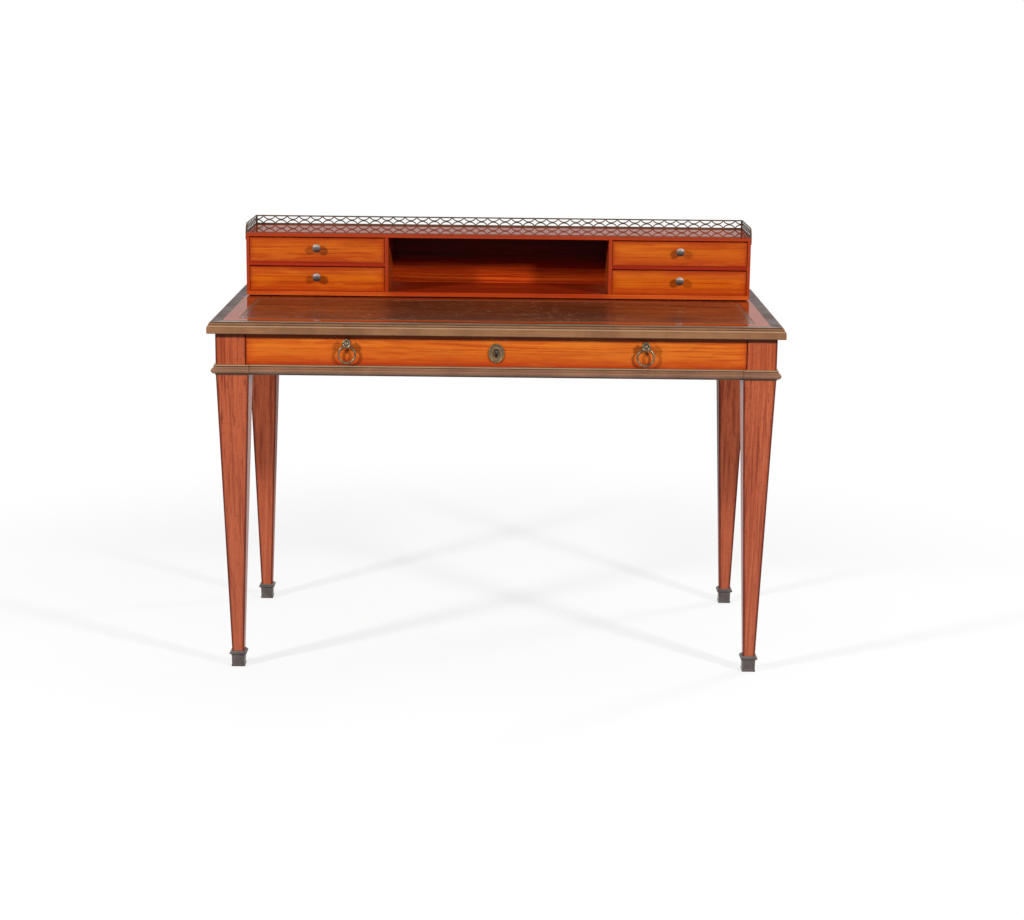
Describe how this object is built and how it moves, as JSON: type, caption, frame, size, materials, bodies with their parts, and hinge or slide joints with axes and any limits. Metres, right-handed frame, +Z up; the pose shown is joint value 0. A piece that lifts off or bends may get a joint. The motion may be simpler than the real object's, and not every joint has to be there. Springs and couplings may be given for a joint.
{
  "type": "stepped desk",
  "caption": "Writing desk on tapered legs with a frieze drawer, brass-bound leather top and a low stepped gradin of small drawers under a pierced gallery.",
  "frame": {"origin": "on the floor below the middle of the desk", "axes": "+X to the sitter's right, +Y from the front to the back, +Z up; the drawers face -Y"},
  "size_m": [1.2, 0.646, 0.916],
  "materials": {
    "front_veneer": "French-polished satinwood veneer, horizontal grain",
    "carcase_veneer": "French-polished reddish veneer",
    "leg_veneer": "French-polished veneer, vertical grain, dark arrises",
    "drawer_lining": "plain waxed oak",
    "leather": "polished hide with a tooled border",
    "brass": "aged polished brass",
    "dark_bronze": "darkened cast bronze",
    "bronze_fittings": "worn bronze",
    "lock_steel": "dull iron"
  },
  "bodies": {
    "desk": {"back_rail": "carcase_veneer", "drawer_rail": "carcase_veneer", "drawer_runners": "drawer_lining", "frieze_moulding_back": "brass", "frieze_moulding_front": "brass", "frieze_moulding_left": "brass", "frieze_moulding_right": "brass", "gallery_back": "brass", "gallery_left": "brass", "gallery_right": "brass", "gradin_back": "carcase_veneer", "gradin_base": "carcase_veneer", "gradin_dividers": "carcase_veneer", "gradin_partition_left": "carcase_veneer", "gradin_partition_right": "carcase_veneer", "gradin_side_left": "carcase_veneer", "gradin_side_right": "carcase_veneer", "gradin_top": "carcase_veneer", "leather_top": "leather", "leg_back_left": "leg_veneer", "leg_back_right": "leg_veneer", "leg_front_left": "leg_veneer", "leg_front_right": "leg_veneer", "leg_mouldings": "brass", "lock_keeper": "brass", "sabot_back_left": "dark_bronze", "sabot_back_right": "dark_bronze", "sabot_front_left": "dark_bronze", "sabot_front_right": "dark_bronze", "side_rail_left": "carcase_veneer", "side_rail_right": "carcase_veneer", "top_moulding_back": "brass", "top_moulding_front": "brass", "top_moulding_left": "brass", "top_moulding_right": "brass", "top_panel": "carcase_veneer"},
    "frieze_drawer": {"drawer_front": "front_veneer", "drawer_side_left": "drawer_lining", "drawer_side_right": "drawer_lining", "drawer_back": "drawer_lining", "drawer_bottom": "drawer_lining", "pull_bosses": "bronze_fittings", "escutcheon": "bronze_fittings", "lock_case": "lock_steel", "lock_screws": "lock_steel"},
    "lock_bolt": {"lock_bolt": "lock_steel"},
    "ring_left": {"pull_ring_left": "bronze_fittings"},
    "ring_right": {"pull_ring_right": "bronze_fittings"},
    "small_drawer_upper_left": {"small_drawer_upper_left_front": "front_veneer", "small_drawer_upper_left_box": "drawer_lining", "small_drawer_upper_left_knob": "bronze_fittings"},
    "small_drawer_upper_right": {"small_drawer_upper_right_front": "front_veneer", "small_drawer_upper_right_box": "drawer_lining", "small_drawer_upper_right_knob": "bronze_fittings"},
    "small_drawer_lower_left": {"small_drawer_lower_left_front": "front_veneer", "small_drawer_lower_left_box": "drawer_lining", "small_drawer_lower_left_knob": "bronze_fittings"},
    "small_drawer_lower_right": {"small_drawer_lower_right_front": "front_veneer", "small_drawer_lower_right_box": "drawer_lining", "small_drawer_lower_right_knob": "bronze_fittings"}
  },
  "joints": [
    {"name": "frieze_drawer_slide", "type": "slide", "parent": "desk", "child": "frieze_drawer", "axis": [0, -1, 0], "range_m": [0, 0.36]},
    {"name": "small_drawer_upper_left_slide", "type": "slide", "parent": "desk", "child": "small_drawer_upper_left", "axis": [0, -1, 0], "range_m": [0, 0.13]},
    {"name": "small_drawer_upper_right_slide", "type": "slide", "parent": "desk", "child": "small_drawer_upper_right", "axis": [0, -1, 0], "range_m": [0, 0.13]},
    {"name": "small_drawer_lower_left_slide", "type": "slide", "parent": "desk", "child": "small_drawer_lower_left", "axis": [0, -1, 0], "range_m": [0, 0.13]},
    {"name": "small_drawer_lower_right_slide", "type": "slide", "parent": "desk", "child": "small_drawer_lower_right", "axis": [0, -1, 0], "range_m": [0, 0.13]},
    {"name": "ring_left_swing", "type": "hinge", "parent": "frieze_drawer", "child": "ring_left", "pos_m": [-0.3105, -0.313, 0.7033], "axis": [-1, 0, 0], "range_deg": [0, 90]},
    {"name": "ring_right_swing", "type": "hinge", "parent": "frieze_drawer", "child": "ring_right", "pos_m": [0.3105, -0.313, 0.7033], "axis": [-1, 0, 0], "range_deg": [0, 90]},
    {"name": "lock_bolt_slide", "type": "slide", "parent": "frieze_drawer", "child": "lock_bolt", "axis": [0, 0, 1], "range_m": [0, 0.008]}
  ]
}
